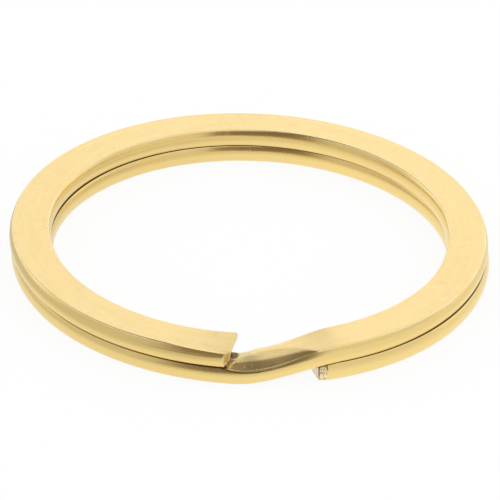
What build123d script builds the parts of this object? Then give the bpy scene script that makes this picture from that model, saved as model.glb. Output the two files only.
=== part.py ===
from build123d import *

import math
import os

# A split key ring: one length of flat brass wire, wound into two turns that lie one on the
# other. A joggle pressed into the front steps the wire from the lower turn to the upper one.
# Millimetres and degrees. Angles start at the front (-Y) and grow towards +X.

# Ring and wire
outer_diameter = 32.0     # each turn, over the rolled outer edge
wire_width = 2.8          # from inner edge to outer edge
wire_thickness = 1.24     # between the two flat faces
edge_bulge = 0.2          # how far a rolled edge stands out past the flat faces
corner_ease = 0.06        # flat taken off the corner between a face and a rolled edge
turn_gap = 0.04           # hairline left between the turns
register_x = 0.13         # how far the lower turn lies off the upper one, to the right
register_y = 0.09         # and to the back

# Joggle
joggle_foot_angle = -3.0  # where the wire starts to climb
joggle_length = 7.0       # along the middle of the wire
joggle_roll = 4.5         # the outer edge leads the inner one up the step
joggle_sections = 17

# Slopes that the die leaves along both edges of the joggle's top
outer_mark_place = 2.6    # middle of the mark, along the wire from the joggle's foot
outer_mark_length = 6.2   # along the wire
outer_mark_width = 1.15   # in from the outer edge, at the middle
outer_mark_slope = 14.5
inner_mark_place = 0.1
inner_mark_length = 3.4
inner_mark_width = 0.7    # in from the inner edge, at the middle
inner_mark_slope = 38.0
mark_sections = 9

# Upper end, cropped where it stands over the joggle's foot
upper_end_setback = 0.19  # short of the foot, along the middle of the wire
upper_top_skew = 17.5     # the top's inner corner reaches further than its outer one
upper_bottom_skew = -1.0  # and the bottom is cropped nearly square
upper_bevel_length = 0.16  # along the outer edge
upper_bevel_depth = 0.08  # into the width
upper_lead_drop = 0.2     # how far the top face has sunk at the tip's outer corner
upper_lead_run = 4.0      # length of the outer edge over which it sinks

# Lower end, cropped where it lies tucked under the joggle's head
lower_end_tuck = 1.75     # short of the head, along the middle of the wire
lower_end_skew = 0.0
lower_bevel_length = 0.6
lower_bevel_depth = 0.2
lower_lead_margin = 0.25  # its top face starts to sink this far before the head

# Worked out from the sizes above
middle_radius = (outer_diameter - wire_width) / 2
pitch = wire_thickness + turn_gap
lower_centre = Vector(register_x / 2, register_y / 2, wire_thickness / 2)
upper_centre = Vector(-register_x / 2, -register_y / 2, wire_thickness / 2 + pitch)
crop_allowance = wire_width / 2  # extra wire that is wound before each end is cropped
up = Vector(0, 0, 1)


def span_angle(length):
    """Angle that a length along the middle of the wire takes up."""
    return math.degrees(length / middle_radius)


joggle_head_angle = joggle_foot_angle + span_angle(joggle_length)
upper_end_angle = joggle_foot_angle - span_angle(upper_end_setback)
lower_end_angle = joggle_head_angle - span_angle(lower_end_tuck)


def outward(angle):
    """Unit vector from the ring's centre through the wire at an angle."""
    turned = math.radians(angle)
    return Vector(math.sin(turned), -math.cos(turned), 0)


def across_wire(centre, angle, roll=0.0):
    """Upright plane that cuts the wire square at an angle: x points outward, y points up."""
    direction = outward(angle)
    origin = centre + direction * middle_radius
    square = Plane(origin=origin, x_dir=direction, z_dir=direction.cross(up))
    return square.rotated((0, 0, roll))


def wire_section():
    """Flat wire with rolled edges: two flat faces and two shallow arcs between eased corners."""
    edge = wire_width / 2
    shoulder = edge - edge_bulge
    flat = shoulder - corner_ease
    top = wire_thickness / 2
    rise = top - corner_ease
    outline = Curve() + [
        Line((-flat, top), (flat, top)),
        Line((flat, top), (shoulder, rise)),
        ThreePointArc((shoulder, rise), (edge, 0), (shoulder, -rise)),
        Line((shoulder, -rise), (flat, -top)),
        Line((flat, -top), (-flat, -top)),
        Line((-flat, -top), (-shoulder, -rise)),
        ThreePointArc((-shoulder, -rise), (-edge, 0), (-shoulder, rise)),
        Line((-shoulder, rise), (-flat, top)),
    ]
    return make_face(outline)


def level_turn(centre, start_angle, end_angle):
    """Wire wound level about a centre, from one angle round to another."""
    section = across_wire(centre, start_angle) * wire_section()
    return revolve(section, axis=Axis(centre, up), revolution_arc=end_angle - start_angle)


def climb(fraction):
    """Share of the step that is climbed at a fraction of the joggle, level at both ends."""
    return fraction * fraction * (3 - 2 * fraction)


def roll_at(fraction):
    """Roll of the wire at a fraction of the joggle: most in the middle, none at the ends."""
    return joggle_roll * math.sin(math.pi * fraction) ** 2


def along_joggle(fraction):
    """Plane square to the wire at a fraction of the joggle, or on the level wire next to it."""
    pressed = min(max(fraction, 0), 1)
    angle = joggle_foot_angle + (joggle_head_angle - joggle_foot_angle) * fraction
    centre = lower_centre + (upper_centre - lower_centre) * climb(pressed)
    return across_wire(centre, angle, roll_at(pressed))


def joggle():
    """The S-shaped step between the turns, lofted through sections square to the wire."""
    fractions = [index / (joggle_sections - 1) for index in range(joggle_sections)]
    return loft([along_joggle(fraction) * wire_section() for fraction in fractions])


def press_mark(side, place, length, width, slope_angle):
    """What the die presses off the joggle's top along its outer (1) or inner (-1) edge."""
    slope = math.tan(math.radians(slope_angle))
    top = wire_thickness / 2
    far = wire_width
    sections = []
    for index in range(mark_sections):
        step = 2 * index / (mark_sections - 1) - 1
        crease = wire_width / 2 - width * (1 - step * step)
        start = crease - width
        corners = [
            (side * start, top + slope * width),
            (side * far, top - slope * (far - crease)),
            (side * far, top + slope * width),
        ]
        plane = along_joggle((place + step * length / 2) / joggle_length)
        sections.append(plane * make_face(Polyline(*corners, close=True)))
    return loft(sections)


def joggle_headroom(angle, side):
    """Height under the joggle's inner (-1) or outer (1) edge where it passes over an angle."""
    fraction = (angle - joggle_foot_angle) / (joggle_head_angle - joggle_foot_angle)
    tilt = math.sin(math.radians(roll_at(fraction)))
    return pitch * climb(fraction) + side * tilt * wire_width / 2


def tip_frame(centre, angle, past_tip):
    """Frame at a tip: x runs out past it along the wire, z points up."""
    direction = outward(angle)
    along = up.cross(direction) * past_tip
    return Plane(origin=centre + direction * middle_radius, x_dir=along, z_dir=up)


def crop_waste(top_skew, bottom_skew, bevel_length, bevel_depth, outer_side):
    """What is cropped off past a tip: a cut whose skew turns from top to bottom, and a bevel."""
    far = 2 * crop_allowance
    reach = wire_width
    shoulder = wire_width / 2 - bevel_depth
    bevelled = bevel_length * (reach - shoulder) / bevel_depth
    leans = math.tan(math.radians(top_skew)), math.tan(math.radians(bottom_skew))
    plans = []
    for level in (-1, 1):
        lean = (leans[0] + leans[1]) / 2 + level * (leans[0] - leans[1])
        corners = [
            (lean * reach, -reach * outer_side),
            (-lean * shoulder, shoulder * outer_side),
            (-lean * shoulder - bevelled, reach * outer_side),
            (far, reach * outer_side),
            (far, -reach * outer_side),
        ]
        plans.append(Pos(0, 0, level * wire_thickness) * make_face(Polyline(*corners, close=True)))
    return loft(plans, ruled=True)


def lead_waste(inner_drop, outer_drop, run, outer_side):
    """What is pressed off the top face towards a tip, by a drop at each edge of the tip."""
    slope = max(inner_drop, outer_drop) / run
    tilt = (outer_drop - inner_drop) / wire_width
    height = wire_thickness / 2 - (inner_drop + outer_drop) / 2
    normal = Vector(slope, tilt * outer_side, 1)
    sunk_face = Plane(origin=(0, 0, height), x_dir=(1, 0, -slope), z_dir=normal)
    patch = Pos(2 * crop_allowance, 0) * Rectangle(
        2 * (run + crop_allowance), 2 * wire_width, align=(Align.MAX, Align.CENTER)
    )
    return extrude(sunk_face * patch, wire_thickness)


def upper_turn():
    """Top turn, from the joggle's head round to the end that stands over its foot."""
    end_angle = 360 + upper_end_angle
    turn = level_turn(upper_centre, joggle_head_angle, end_angle + span_angle(crop_allowance))
    frame = tip_frame(upper_centre, end_angle, 1)
    crop = crop_waste(
        upper_top_skew, upper_bottom_skew, upper_bevel_length, upper_bevel_depth, -1
    )
    lead = lead_waste(0, upper_lead_drop, upper_lead_run, -1)
    return turn - frame * crop - frame * lead


def lower_turn():
    """Bottom turn, from the end tucked under the joggle round to the joggle's foot."""
    start_angle = lower_end_angle - span_angle(crop_allowance)
    turn = level_turn(lower_centre, start_angle, 360 + joggle_foot_angle)
    frame = tip_frame(lower_centre, lower_end_angle, -1)
    crop = crop_waste(lower_end_skew, lower_end_skew, lower_bevel_length, lower_bevel_depth, 1)
    drops = [pitch - joggle_headroom(lower_end_angle, side) for side in (-1, 1)]
    lead = lead_waste(*drops, lower_end_tuck + lower_lead_margin, 1)
    return turn - frame * crop - frame * lead


stepped = lower_turn() + joggle()
stepped -= press_mark(1, outer_mark_place, outer_mark_length, outer_mark_width, outer_mark_slope)
stepped -= press_mark(-1, inner_mark_place, inner_mark_length, inner_mark_width, inner_mark_slope)
ring = stepped + upper_turn()
outline = ring.bounding_box()
ring = Pos(-outline.center().X, -outline.center().Y, -outline.min.Z) * ring
ring.label = "split_ring"

os.makedirs("parts", exist_ok=True)
export_step(ring, "parts/split_ring.step")
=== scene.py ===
import math

import bpy
from mathutils import Matrix, Vector, noise


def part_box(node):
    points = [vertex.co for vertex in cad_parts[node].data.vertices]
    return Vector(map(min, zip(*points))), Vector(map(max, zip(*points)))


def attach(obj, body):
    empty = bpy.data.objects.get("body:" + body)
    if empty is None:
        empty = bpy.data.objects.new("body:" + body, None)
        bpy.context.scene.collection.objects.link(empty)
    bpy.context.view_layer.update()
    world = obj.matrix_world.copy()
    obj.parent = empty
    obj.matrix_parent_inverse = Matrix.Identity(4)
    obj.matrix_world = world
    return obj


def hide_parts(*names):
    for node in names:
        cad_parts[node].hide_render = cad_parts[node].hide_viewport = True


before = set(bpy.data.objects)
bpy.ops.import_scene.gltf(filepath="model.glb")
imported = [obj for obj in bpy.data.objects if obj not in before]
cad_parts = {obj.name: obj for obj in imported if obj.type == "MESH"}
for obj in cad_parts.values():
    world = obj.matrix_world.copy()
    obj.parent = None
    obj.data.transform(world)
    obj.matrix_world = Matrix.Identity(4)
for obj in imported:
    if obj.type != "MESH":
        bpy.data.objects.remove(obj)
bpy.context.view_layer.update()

# ---------------------------------------------------------------------------------------------
# The split ring. One length of flat brass wire with rolled edges, wound into two turns that lie
# on each other. A press steps the wire from the lower turn to the upper one in a joggle at the
# front. A shear crops both ends: one stands over the joggle's foot, one is tucked under its head.

wire_width = 0.0028
wire_thickness = 0.00124
edge_bulge = 0.0002
corner_round = 0.00006
rim_round = 0.00004
turn_gap = 0.00004
register = Vector((0.00013, 0.00009, 0))
ring_radius = 0.016

joggle_foot = math.radians(-3.0)
joggle_run = 0.007
joggle_roll = math.radians(4.5)

# The die's slopes on the joggle's top: side, middle and length along the wire, width, slope
outer_mark = (1, 0.0021, 0.0066, 0.00168, math.tan(math.radians(12.0)))
inner_mark = (-1, 0.0001, 0.0034, 0.0007, math.tan(math.radians(38.0)))
upper_mark = (1, 0.00215, 0.0063, 0.00215, math.tan(math.radians(6.5)))
press_blend = 0.00001

# Upper end: how far its cut leans out past the setback, at the top and the foot, and curves in
upper_setback = 0.00019
upper_reach = 0.00034
upper_skew = 0.2
upper_foot_reach = 0.00002
upper_hollow = 1.5
upper_inner_start = -0.00045
upper_inner_round = 340
upper_corner = 0.00093
upper_corner_slant = 0.8
upper_lead_drop = 0.0002
upper_lead_run = 0.004

# Lower end: its outer edge is torn next to the cut, and its bottom corner is worn down
lower_tuck = 0.00185
lower_worn_run = 0.0006
lower_worn = 0.00008
torn_run = 0.00050
torn_depth = 0.00003
torn_fade = 0.00006
torn_swells = 9000
crumbled_depth = 0.000012
crumbled_swells = 5000
crumbled_run = 0.0002
crop_run = 0.0012

# How finely the section is divided
flat_cuts = 19
edge_cuts = 21
outer_edge_cuts = 2
corner_steps = 5
rim_steps = 4
cap_shares = (0.86, 0.8, 0.75, 0.6)

# Worked out from the sizes above. Angles start at the front and grow towards +X.
half_width = wire_width / 2
half_thick = wire_thickness / 2
shoulder = half_width - edge_bulge
wire_radius = ring_radius - half_width
lift = wire_thickness + turn_gap
joggle_head = joggle_foot + joggle_run / wire_radius
lower_tip = joggle_head - lower_tuck / wire_radius
upper_tip = 2 * math.tau + joggle_foot - upper_setback / wire_radius
wound_length = (upper_tip - lower_tip) * wire_radius

ring_low, ring_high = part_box("split_ring")
lower_centre = Vector((ring_high.x - ring_radius, ring_high.y - ring_radius, half_thick))
upper_centre = lower_centre - register + Vector((0, 0, lift))


def edit_mode():
    bpy.ops.object.mode_set(mode="EDIT")


def object_mode():
    bpy.ops.object.mode_set(mode="OBJECT")


def pick(piece, kind, chosen):
    """In object mode, selects the vertices, edges or polygons that a test chooses, and no others."""
    for name in ("vertices", "edges", "polygons"):
        items = getattr(piece.data, name)
        items.foreach_set("select", [False] * len(items))
    for item in getattr(piece.data, kind):
        item.select = chosen(item)


# The section is drawn as a plate: its long sides are the flat faces, its short ones the edges
bpy.ops.object.select_all(action="DESELECT")
bpy.ops.mesh.primitive_plane_add(size=1)
wire = bpy.context.object
wire.name = "wound_wire"
edit_mode()
bpy.ops.transform.resize(value=(2 * shoulder, wire_thickness, 1))
bpy.ops.mesh.select_mode(type="EDGE")
nearly = 0.999  # share of the way to a side past which a point lies on it
for axis, reach, cuts in ((0, shoulder, edge_cuts), (1, half_thick, flat_cuts)):
    for side in (-reach, reach):
        object_mode()
        points = wire.data.vertices
        pick(wire, "edges", lambda edge: all(points[i].co[axis] / side > nearly for i in edge.vertices))
        edit_mode()
        bpy.ops.mesh.subdivide(number_cuts=cuts, ngon=True)

# The rolled edges stand out as shallow arcs, and the four corners are eased round
object_mode()
edge_radius = (half_thick ** 2 + edge_bulge ** 2) / (2 * edge_bulge)
for point in wire.data.vertices:
    if abs(point.co.x) > shoulder * nearly:
        rise = math.sqrt(edge_radius ** 2 - point.co.y ** 2) - (edge_radius - edge_bulge)
        point.co.x += math.copysign(rise, point.co.x)
corner = (shoulder * nearly, half_thick * nearly)
pick(wire, "vertices", lambda point: abs(point.co.x) > corner[0] and abs(point.co.y) > corner[1])
edit_mode()
bpy.ops.mesh.select_mode(type="VERT")
bpy.ops.mesh.bevel(offset=corner_round, segments=corner_steps, affect="VERTICES", clamp_overlap=False)
object_mode()

# The outer edge is divided further, so that the die's mark can end sharply anywhere on it
past_corner = shoulder * 1.004
points = wire.data.vertices
pick(wire, "edges", lambda edge: all(points[i].co.x > past_corner for i in edge.vertices))
edit_mode()
bpy.ops.mesh.select_mode(type="EDGE")
bpy.ops.mesh.subdivide(number_cuts=outer_edge_cuts, ngon=True)
object_mode()
ring_count = len(wire.data.vertices)

# Stood up at the lower tip and spun round in stretches, with close stations where it is worked
pick(wire, "polygons", lambda face: True)
edit_mode()
bpy.ops.mesh.select_mode(type="FACE")
bpy.ops.mesh.select_all(action="SELECT")
bpy.ops.transform.rotate(value=-math.pi / 2, orient_axis="X", center_override=(0, 0, 0))
bpy.ops.transform.translate(value=(wire_radius, 0, 0))
object_mode()
turned = Matrix.Rotation(lower_tip - math.pi / 2, 4, "Z")
for point in wire.data.vertices:
    point.co = turned @ point.co
edit_mode()
bpy.ops.mesh.select_all(action="SELECT")
close_turn = crop_run / wire_radius
rim_turn = rim_round / wire_radius
# Each stretch turns so far in so many steps: the lower end's rim and crop, the lower turn, the
# joggle, the upper turn, and the upper end's lead, crop and rim
stretches = [
    (rim_turn, rim_steps),
    (close_turn - rim_turn, 22),
    (math.tau + joggle_foot - lower_tip - close_turn, 210),
    (joggle_head - joggle_foot, 120),
    (upper_tip - math.tau - joggle_head - upper_lead_run / wire_radius, 195),
    (upper_lead_run / wire_radius - close_turn, 22),
    (close_turn - rim_turn, 16),
    (rim_turn, rim_steps),
]
stations = [lower_tip]
for sweep, steps in stretches:
    bpy.ops.mesh.spin(steps=steps, angle=sweep, center=(0, 0, 0), axis=(0, 0, -1))
    start = stations[-1]
    stations += [start + sweep * (step + 1) / steps for step in range(steps)]
object_mode()

# Each tip is closed by smaller and smaller copies of the section
last_ring = (len(stations) - 1) * ring_count
tips = {0: lower_tip, last_ring: upper_tip}
for first, angle in tips.items():
    pick(wire, "polygons", lambda face: set(face.vertices) == set(range(first, first + ring_count)))
    edit_mode()
    bpy.ops.mesh.select_mode(type="FACE")
    middle = Matrix.Rotation(angle, 3, "Z") @ Vector((0, -wire_radius, 0))
    for share in cap_shares:
        bpy.ops.mesh.extrude_region_move()
        bpy.ops.transform.resize(value=(share, share, share), center_override=middle)
        stations.append(angle)
    object_mode()


def ease(value, start, end):
    """Rises smoothly from 0 at start to 1 at end, which may lie below start."""
    share = min(max((value - start) / (end - start), 0), 1)
    return share * share * (3 - 2 * share)


def pressed(high, limit):
    """A height over the wire's middle, pressed down to a limit with a rounded edge."""
    return (high + limit - math.hypot(high - limit, press_blend)) / 2


def press(fraction):
    """Share of the step climbed at a fraction of the joggle's length, and the wire's roll there."""
    return ease(fraction, 0, 1), joggle_roll * math.sin(math.pi * fraction) ** 2


def rounded_rim(along, out, high):
    """The shear leaves the rims of both tips a little rounded: the section shrinks next to a tip."""
    short = min(max(rim_round - along, 0), rim_round)
    inset = rim_round - math.sqrt(rim_round ** 2 - short ** 2)
    return out * (1 - inset / half_width), high * (1 - inset / half_thick)


def cropped_lower(along, out, high):
    """Lower end: the shear tore the outer edge next to it, and its top lies under the joggle."""
    climbed, roll = press(min(1 - (lower_tuck - along) / joggle_run, 1))
    out, high = rounded_rim(along, out, high)
    high = pressed(high, half_thick - lift * (1 - climbed) + math.sin(roll) * out + press_blend / 2)
    tear = ease(along, torn_run, torn_run - torn_fade)
    tear *= ease(out, shoulder - 0.00004, shoulder + 0.00006)
    rough = noise.noise(Vector((along, out, high)) * torn_swells)
    rough += 0.5 * noise.noise(Vector((along, high, out)) * 2 * torn_swells)
    rough *= ease(along, 0, 2 * torn_fade)
    crumbled = crumbled_depth * noise.noise(Vector((out, high, 0.3)) * crumbled_swells)
    crumbled *= 1 - ease(along, 0, crumbled_run)
    worn = ease(high, -0.2 * half_thick, -half_thick) * ease(out, 0.4 * half_width, half_width)
    worn *= lower_worn * max(1 - along / lower_worn_run, 0)
    out -= tear * torn_depth * (1 + 0.8 * rough) + worn
    along += (worn + crumbled) * max(1 - along / crop_run, 0)
    return along, out, high + worn


def cropped_upper(along, out, high):
    """Upper end: the cut runs in under the top, its outer corner is slanted, and its top sinks."""
    out, high = rounded_rim(along, out, high)
    share = max((high + half_thick) / wire_thickness, 0)
    rounding = upper_inner_round * max(upper_inner_start - out, 0) ** 2
    top_reach = upper_reach - upper_skew * out - rounding
    reach = upper_foot_reach + (top_reach - upper_foot_reach) * share ** upper_hollow
    reach -= upper_corner_slant * max(out - upper_corner, 0)
    sunk = upper_lead_drop * (0.5 + out / wire_width) * max(1 - along / upper_lead_run, 0)
    high = pressed(high, half_thick - sunk + press_blend / 2)
    return along - reach * max(1 - along / crop_run, 0), out, high


def die_lens(mark, run, out):
    """How far a place lies past the curved crease of one of the die's marks."""
    side, middle, length, width = mark[:4]
    step = 2 * (run - middle) / length
    return side * out - half_width + width * max(1 - step * step, -1)


def pressed_joggle(run, out, high):
    """The die's marks on a run along the joggle: two slopes outward and one along the inner edge."""
    for mark in (upper_mark, outer_mark, inner_mark):
        high = pressed(high, half_thick + press_blend / 2 - mark[4] * die_lens(mark, run, out))
    return high


# Places along and across the straight wire are kept, because the metal's grain follows them. The
# first half turn belongs to the lower end and the last one to the upper end.
drawn = wire.data.attributes.new("drawn", "FLOAT_VECTOR", "POINT")
for index, point in enumerate(wire.data.vertices):
    angle = stations[index // ring_count]
    out = math.hypot(point.co.x, point.co.y) - wire_radius
    high = point.co.z
    drawn.data[index].vector = ((angle - lower_tip) * wire_radius, out, high)
    if angle < math.pi:
        along, out, high = cropped_lower((angle - lower_tip) * wire_radius, out, high)
        angle = lower_tip + along / wire_radius
    elif angle > 3 * math.pi:
        along, out, high = cropped_upper((upper_tip - angle) * wire_radius, out, high)
        angle = upper_tip - along / wire_radius
    run = (angle - math.tau - joggle_foot) * wire_radius
    if -joggle_run < run < 2 * joggle_run:
        high = pressed_joggle(run, out, high)
    climbed, roll = press(min(max(run / joggle_run, 0), 1))
    centre = lower_centre.lerp(upper_centre, climbed)
    reach = wire_radius + out * math.cos(roll) - high * math.sin(roll)
    level = out * math.sin(roll) + high * math.cos(roll)
    point.co = centre + Vector((reach * math.sin(angle), -reach * math.cos(angle), level))

# Faces point outwards, and the shading breaks only where two of them meet at a sharp angle
edit_mode()
bpy.ops.mesh.select_all(action="SELECT")
bpy.ops.mesh.normals_make_consistent(inside=False)
object_mode()
crease_angle = math.radians(26)
bpy.ops.object.shade_smooth_by_angle(angle=crease_angle)


class Shade:
    """A socket of a material or of the world. Sums on it add Math nodes to its tree."""

    def __init__(self, tree, socket=None):
        self.tree = tree
        self.socket = socket

    def node(self, kind, settings, inputs, output=0):
        """Adds a node: its settings first, then a value or a link for each socket named."""
        made = self.tree.nodes.new(kind)
        for name, value in settings.items():
            setattr(made, name, value)
        for name, value in inputs.items():
            if isinstance(value, Shade):
                self.tree.links.new(value.socket, made.inputs[name])
            else:
                made.inputs[name].default_value = value
        return Shade(self.tree, made.outputs[output] if len(made.outputs) else None)

    def math(self, operation, *values):
        return self.node("ShaderNodeMath", {"operation": operation}, dict(enumerate(values)))

    def __add__(self, other):
        return self.math("ADD", self, other)

    def __radd__(self, other):
        return self.math("ADD", other, self)

    def __sub__(self, other):
        return self.math("SUBTRACT", self, other)

    def __rsub__(self, other):
        return self.math("SUBTRACT", other, self)

    def __mul__(self, other):
        return self.math("MULTIPLY", self, other)

    def __rmul__(self, other):
        return self.math("MULTIPLY", other, self)

    def __abs__(self):
        return self.math("ABSOLUTE", self)

    def most(self, other):
        """The greater of this and another value."""
        return self.math("MAXIMUM", self, other)

    def ease(self, start, end):
        """0 below start and 1 above end, smooth between; with start above end it falls."""
        sides = {"Value": self, "From Min": start, "From Max": end}
        return self.node("ShaderNodeMapRange", {"interpolation_type": "SMOOTHSTEP"}, sides)

    def span(self, start, full, last, end):
        """Rises from 0 at start to 1 at full, stays there, and falls from last to 0 at end."""
        return self.ease(start, full) * self.ease(end, last)

    def axis(self, name):
        """One coordinate of a vector."""
        return self.node("ShaderNodeSeparateXYZ", {}, {"Vector": self}, name)

    def grain(self, scales, detail, shift=0.0):
        """Noise from 0 to 1 over a vector, with so many swells to the metre along each axis."""
        settings = {"operation": "MULTIPLY_ADD"}
        swells = self.node("ShaderNodeVectorMath", settings, {0: self, 1: scales, 2: (shift, shift, shift)})
        return self.node("ShaderNodeTexNoise", {}, {"Vector": swells, "Scale": 1.0, "Detail": detail})

    def mix(self, first, second):
        """Mixes two colours by this value."""
        sides = {"Factor": self, 6: first, 7: second}
        return self.node("ShaderNodeMix", {"data_type": "RGBA"}, sides, 2)


# Bright brass: satin flats as the rolls left them, smoother and deeper edges, corners rubbed pale, their
# paleness also a painted highlight
flat_brass = (0.985, 0.765, 0.365, 1)
dull_brass = (0.925, 0.690, 0.305, 1)
edge_brass = (0.970, 0.728, 0.275, 1)
pale_brass = (1.0, 0.850, 0.530, 1)
# Painted shade: a darker brass for the joggle's foot
foot_shade_brass = (0.70, 0.54, 0.25, 1)
# Painted shade: a tan for the upper cut's slanted corner
slanted_shade_brass = (0.62, 0.46, 0.17, 1)
sheared_brass = (0.86, 0.79, 0.60, 1)
torn_brass = (0.50, 0.33, 0.14, 1)
# Painted shade, near black: crevices, creases, the tear's edges and the cut's underside
painted_shade_brass = (0.12, 0.07, 0.015, 1)

brass = bpy.data.materials.new("drawn_brass")
brass.use_nodes = True
brass.node_tree.nodes.clear()
brass_nodes = Shade(brass.node_tree)
place = brass_nodes.node("ShaderNodeTexCoord", {}, {}, "Object")
on_wire = brass_nodes.node("ShaderNodeAttribute", {"attribute_name": "drawn"}, {}, "Vector")
along = on_wire.axis("X")
out = on_wire.axis("Y")
level = on_wire.axis("Z")
foot_run = along - (math.tau + joggle_foot - lower_tip) * wire_radius

# The grain of the metal: drawing lines and swells along the wire, mottling, strokes and pits
lines = on_wire.grain((400, 9000, 9000), 3.0)
swell = on_wire.grain((160, 700, 900), 2.0, 3.7)
mottle = place.grain((1500, 1500, 1500), 3.0)
drift = place.grain((140, 140, 140), 1.0, 11.3)
patches = place.grain((420, 420, 420), 2.0, 5.1)
strokes = on_wire.grain((11000, 900, 900), 2.0, 8.9).ease(0.60, 0.72) * patches.ease(0.48, 0.62)
pits = place.grain((6500, 6500, 6500), 1.0, 2.2).ease(0.70, 0.80)
speckle = on_wire.grain((9000, 9000, 9000), 3.0, 6.4)

# Faces of the wire. A ramp is a pair: where a trace starts to show, and where it is full.
rolled_ramp = (shoulder - 0.00008, shoulder)
rubbed_highlight_ramp = (half_thick - 0.00012, half_thick - 0.00003)
top_ramp = (0.5 * half_thick, half_thick)
rolled = abs(out).ease(*rolled_ramp)
# Paler corners: partly wear, partly a painted highlight along the edges
rubbed_highlight = rolled * abs(level).ease(*rubbed_highlight_ramp)
outer_wall = rolled * out.ease(0, shoulder)
top = level.ease(*top_ramp)


def mark_step(mark):
    """From -1 to 1 along one of the die's marks."""
    middle, length = mark[1:3]
    return (foot_run - middle) * (2 / length)


def past_edge(mark):
    """How far a place lies past the curved edge of one of the die's marks."""
    step = mark_step(mark)
    width = mark[3]
    return out - half_width + width * (1 - step * step)


# The die burnished what it pressed, and its mark ends in a crease along the outer edge, darkened by painted
# shade
burnished = past_edge(upper_mark).ease(-0.0001, 0.0) * mark_step(upper_mark).span(-1.0, -0.9, 0.9, 1.0)
past_crease = past_edge(outer_mark)
pressed_down = past_crease.ease(0.0, 0.0001)
rubbed_highlight = rubbed_highlight * (1 - pressed_down * level.ease(0.0, 0.0001))
outer_slope = outer_mark[4]
crease_ramp = (0.00007, 0.00003)
crease_shade = 0.35 + foot_run.ease(0.0022, 0.0010) * 0.65
crease = abs(level - half_thick + past_crease * outer_slope).ease(*crease_ramp)
crease = crease * rolled * pressed_down * crease_shade

# At its foot the joggle gets painted shade in a darker brass, with a scuff and a pale painted highlight
# along its inner edge
foot_ramp = (0.0020, 0.0010)
foot_span = (-0.0004, -0.0002, 0.0003, 0.0006)
foot_shade = burnished * foot_run.ease(*foot_ramp) * out.span(*foot_span) * top
scuff_run = (0.0001, 0.0003, 0.0010, 0.0012)
scuff_middle = -0.00064
scuff_ramp = (0.00026, 0.00016)
scuffed = foot_run.span(*scuff_run) * abs(out - scuff_middle).ease(*scuff_ramp) * top
# A pale painted highlight along the inner edge of the joggle
lip_run = (0.0008, 0.0013, 0.0030, 0.0045)
lip_middle = -0.00112
lip_ramp = (0.00022, 0.00010)
lip_highlight = foot_run.span(*lip_run) * abs(out - lip_middle).ease(*lip_ramp) * top

# The shear left bare rough metal at the lower end, and wiped the upper end's cut smooth
cut_ramp = (0.00003, 0.00001)
sheared = along.ease(*cut_ramp)
wiped = (wound_length - along).ease(*cut_ramp)
torn_ramp = (torn_run + 0.00002, torn_run - 0.00002)
torn = along.ease(*torn_ramp) * outer_wall
# Lines of painted shade along the tear's end and the cut's rim
torn_end = abs(along - torn_run).ease(0.00006, 0.00002) * level.ease(0.1 * half_thick, 0.6 * half_thick)
torn_rim = abs(along - 0.00002).ease(0.00004, 0.00002) * 0.6
torn_lines = (torn_end + torn_rim) * outer_wall
# The cut's slanted outer corner is painted a tan brass as shade
slanted_out = (upper_corner + 0.00002, upper_corner + 0.0001, half_width - 0.00006, half_width + 0.00004)
slanted_level = (-0.8 * half_thick, -0.2 * half_thick, 0.8 * half_thick, 0.95 * half_thick)
slanted = wiped * out.span(*slanted_out) * level.span(*slanted_level)

# Painted shade darkens the mouth of the crack between the turns, and on the left also the edge under it
mouth_ramp = (shoulder - 0.0004, shoulder - 0.0001)
face_ramp = (half_thick - 0.00005, half_thick)
corner_ramp = (half_thick - 0.00012, half_thick - 0.00006)
edge_run = (-0.020, -0.012, -0.0008, -0.0004)
under = foot_run.ease(-0.0002, -0.0006) * level.ease(*face_ramp)
over = foot_run.ease(joggle_run - 0.0021, joggle_run - 0.0017) * (level * -1).ease(*face_ramp)
painted_shade = (under + over) * abs(out).ease(*mouth_ramp)
painted_shade = painted_shade + foot_run.span(*edge_run) * outer_wall * level.ease(*corner_ramp) * (1 - under)

# Painted shade also darkens beside the upper end: the nook at the joggle's foot and the undercut face of
# the cut
nook_middle = (-0.00006, -0.00034)
nook_size = (0.0003, 0.00043)
nook_run = (foot_run - nook_middle[0]) * (1 / nook_size[0])
nook_out = (out - nook_middle[1]) * (1 / nook_size[1])
nook = (nook_run * nook_run + nook_out * nook_out).ease(1.6, 0.5) * top
hollow = out.ease(0.0009, 0.0008) * level.ease(0.8 * half_thick, 0.5 * half_thick)
hollow = hollow.most(level.ease(-0.6 * half_thick, -0.9 * half_thick))
hollow = hollow.most(level.ease(-0.2 * half_thick, -0.7 * half_thick) * out.ease(0.0012, 0.0010))
beside_run = (-0.0009, -0.0006, 0.0, 0.0003)
beside = foot_run.span(*beside_run) * out.ease(0.0, 0.0003) * past_crease.ease(0.00004, -0.00002)
painted_shade = painted_shade.most(nook).most(hollow * wiped).most(crease + beside * top * 0.45)

dulled = mottle.ease(0.45, 0.80) * 0.28 + drift.ease(0.35, 0.75) * 0.15 + strokes * 0.25 + pits * 0.35
dulled = dulled + lines.ease(0.40, 0.75) * 0.5 + swell.ease(0.45, 0.75) * 0.2
colour = rolled.mix(flat_brass, edge_brass)
colour = dulled.mix(colour, dull_brass)
colour = foot_shade.mix(colour, foot_shade_brass)
colour = (rubbed_highlight * lines.ease(0.35, 0.65)).mix(colour, pale_brass)
colour = (lip_highlight * 0.8 + scuffed * speckle.ease(0.38, 0.50)).mix(colour, pale_brass)
colour = wiped.mix(colour, slanted.mix(pale_brass, slanted_shade_brass))
colour = sheared.mix(colour, speckle.ease(0.32, 0.46).mix(torn_brass, sheared_brass))
colour = torn.mix(colour, speckle.ease(0.40, 0.52).mix(torn_brass, pale_brass))
colour = (torn_lines * 0.7).mix(colour, painted_shade_brass)
# The painted shade goes over every other colour
colour = (painted_shade * 0.9).mix(colour, painted_shade_brass)

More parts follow.
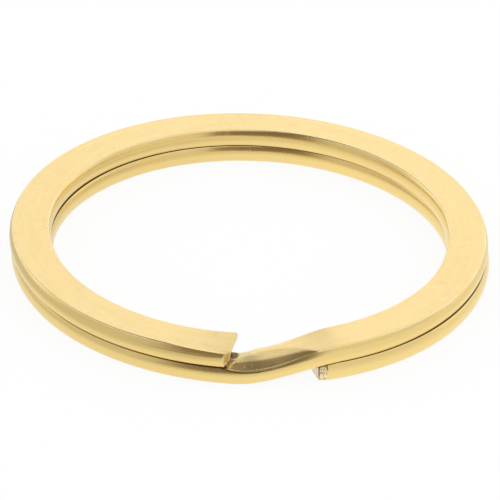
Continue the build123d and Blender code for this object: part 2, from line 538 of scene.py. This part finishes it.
rough = 0.25 - rolled * 0.08 - burnished * (1 - rolled) * 0.10
rough = rough + mottle * 0.07 + lines * rolled * 0.05 + strokes * 0.12
rough = rough + (sheared + torn + scuffed * 0.6 + wiped * 0.3) * 0.25

# Heights of the relief in thousandths of a millimetre
relief_unit = 0.000001
relief = lines * (0.25 + rolled * 0.35) + swell * (2.0 + rolled * 6.0) + mottle * 0.5
relief = relief - strokes * 0.6 - pits * 0.8
relief = relief + speckle * (sheared * 14.0 + torn * 16.0 + scuffed * 12.0 + wiped * 4.0)
bump = brass_nodes.node("ShaderNodeBump", {}, {"Height": relief, "Distance": relief_unit, "Strength": 1.0})
finish = {"Base Color": colour, "Metallic": 1.0, "Roughness": rough, "Normal": bump}
shader = brass_nodes.node("ShaderNodeBsdfPrincipled", {}, finish)
brass_nodes.node("ShaderNodeOutputMaterial", {}, {"Surface": shader})
wire.data.materials.append(brass)

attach(wire, "root")
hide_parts("split_ring")


# ---------------------------------------------------------------------------------------------
# The table. A white sheet that takes the ring's shadow. The metal sees it glow with painted light
# and shade: greyer on the left, paler close to the ring, and dark past a painted end in front of it.

bpy.ops.mesh.primitive_plane_add(size=2.0, location=(0, 0, 0))
table = bpy.context.object
table.name = "table_sheet"
white = (1, 1, 1, 1)
opening_tone = (0.205, 0.162, 0.140, 1)
sheet_glow = 0.9
sheet_front = 0.0235
front_slant = 2.0
slant_start = 0.004

sheet = bpy.data.materials.new("white_sheet")
sheet.use_nodes = True
sheet.node_tree.nodes.clear()
sheet_nodes = Shade(sheet.node_tree)
spot = sheet_nodes.node("ShaderNodeTexCoord", {}, {}, "Object")
side = spot.axis("X")
depth = spot.axis("Y")
reach = sheet_nodes.node("ShaderNodeVectorMath", {"operation": "LENGTH"}, {0: spot}, 1)
# Painted light, seen only in the metal: paler close to the ring and greyer on the left
near = (abs(reach - wire_radius) - half_width).ease(0.0036, 0.0004)
rightness = side.ease(-0.006, 0.006)
far_tone = 0.64 + rightness * 0.22
near_tone = 0.88 + rightness * 0.08
tone = far_tone * (1 - near) + near_tone * near
# Painted shade, seen only in the metal: dark past the sheet's front end
edge = (side + slant_start).most(0.0) * front_slant + depth + sheet_front
dark = edge.ease(0.001, -0.001) * side.ease(-0.024, -0.016)
tint = sheet_nodes.node("ShaderNodeCombineColor", {}, {0: tone, 1: tone, 2: tone})
paper = sheet_nodes.node("ShaderNodeBsdfDiffuse", {}, {"Color": white})
glow = sheet_nodes.node("ShaderNodeEmission", {}, {"Color": white, "Strength": 1.0})
lit = sheet_nodes.node("ShaderNodeMixShader", {}, {0: sheet_glow, 1: paper, 2: glow})
seen = dark.mix(tint, opening_tone)
mirrored = sheet_nodes.node("ShaderNodeEmission", {}, {"Color": seen, "Strength": 1.0})
glossy = sheet_nodes.node("ShaderNodeLightPath", {}, {}, "Is Glossy Ray")
surface = sheet_nodes.node("ShaderNodeMixShader", {}, {0: glossy, 1: lit, 2: mirrored})
sheet_nodes.node("ShaderNodeOutputMaterial", {}, {"Surface": surface})
table.data.materials.append(sheet)


# ---------------------------------------------------------------------------------------------
# The light tent. Even white cloth, greyer low at the front, with the dark opening that the camera
# looks in by, and a dark bar on a boom over the back. They give the metal its dark lines.

lamp_tone = (0.145, 0.118, 0.100, 1)
boom_side = -0.27
bar_side = -0.13
bar_depth = 0.585
shade_depth = (0.45, 0.50, 0.79, 0.84)
opening_turn = (-0.80, -0.42, 0.38, 0.46)
opening_top = (0.68, 0.50)

tent = bpy.data.worlds.new("tent")
bpy.context.scene.world = tent
tent.use_nodes = True
tent.node_tree.nodes.clear()
tent_nodes = Shade(tent.node_tree)
ray = tent_nodes.node("ShaderNodeTexCoord", {}, {}, "Generated")
side = ray.axis("X")
depth = ray.axis("Y")
height = ray.axis("Z")
turn = side.math("ARCTAN2", side, depth * -1)
opening = turn.span(*opening_turn) * height.ease(*opening_top)
boom = abs(side - boom_side).ease(0.22, 0.18) * height.ease(0.30, 0.55) * depth.ease(0.60, 0.50)
beam = abs(side - bar_side).ease(0.42, 0.36) * height.ease(0.2, 0.4)
bar = beam * abs(depth - bar_depth).ease(0.098, 0.078)
shade = beam * depth.span(*shade_depth) * side.ease(0.02, -0.06)
low = height.ease(0.78, 0.62) * depth.ease(0.35, -0.05)
low_grey = 0.37 - side.ease(0.0, 0.5) * 0.14
back_light = depth.ease(0.55, 0.80) * 0.09
cloth = 1 - low * low_grey - shade * 0.28 + back_light
walls = tent_nodes.node("ShaderNodeCombineColor", {}, {0: cloth, 1: cloth, 2: cloth})
seen = boom.most(bar).mix(opening.mix(walls, opening_tone), lamp_tone)
glossy = tent_nodes.node("ShaderNodeLightPath", {}, {}, "Is Glossy Ray")
light = tent_nodes.node("ShaderNodeBackground", {}, {"Color": glossy.mix(white, seen), "Strength": 1.0})
tent_nodes.node("ShaderNodeOutputWorld", {}, {"Surface": light})


# ---------------------------------------------------------------------------------------------
# The camera. A long lens, a third of a metre off in front of the joggle and about 30 degrees up,
# leaning a little to one side.

camera_distance = 0.34402
camera_rise = math.radians(30.565)
camera_lean = math.radians(2.053)
camera_lens = 371.0
film_width = 36
aim = Vector((0.00004, -0.00082, (ring_low.z + ring_high.z) / 2))
back = Vector((0, -math.cos(camera_rise), math.sin(camera_rise)))
right = Vector((1, 0, 0))
turned = Matrix((right, back.cross(right), back)).transposed().to_4x4()
bpy.ops.object.camera_add()
camera = bpy.context.object
stand = Matrix.Translation(aim + back * camera_distance)
camera.matrix_world = stand @ turned @ Matrix.Rotation(camera_lean, 4, "Z")
camera.data.sensor_width = film_width
camera.data.lens = camera_lens
camera.data.clip_start = 0.01
bpy.context.scene.camera = camera
bpy.context.scene.view_settings.view_transform = "Standard"
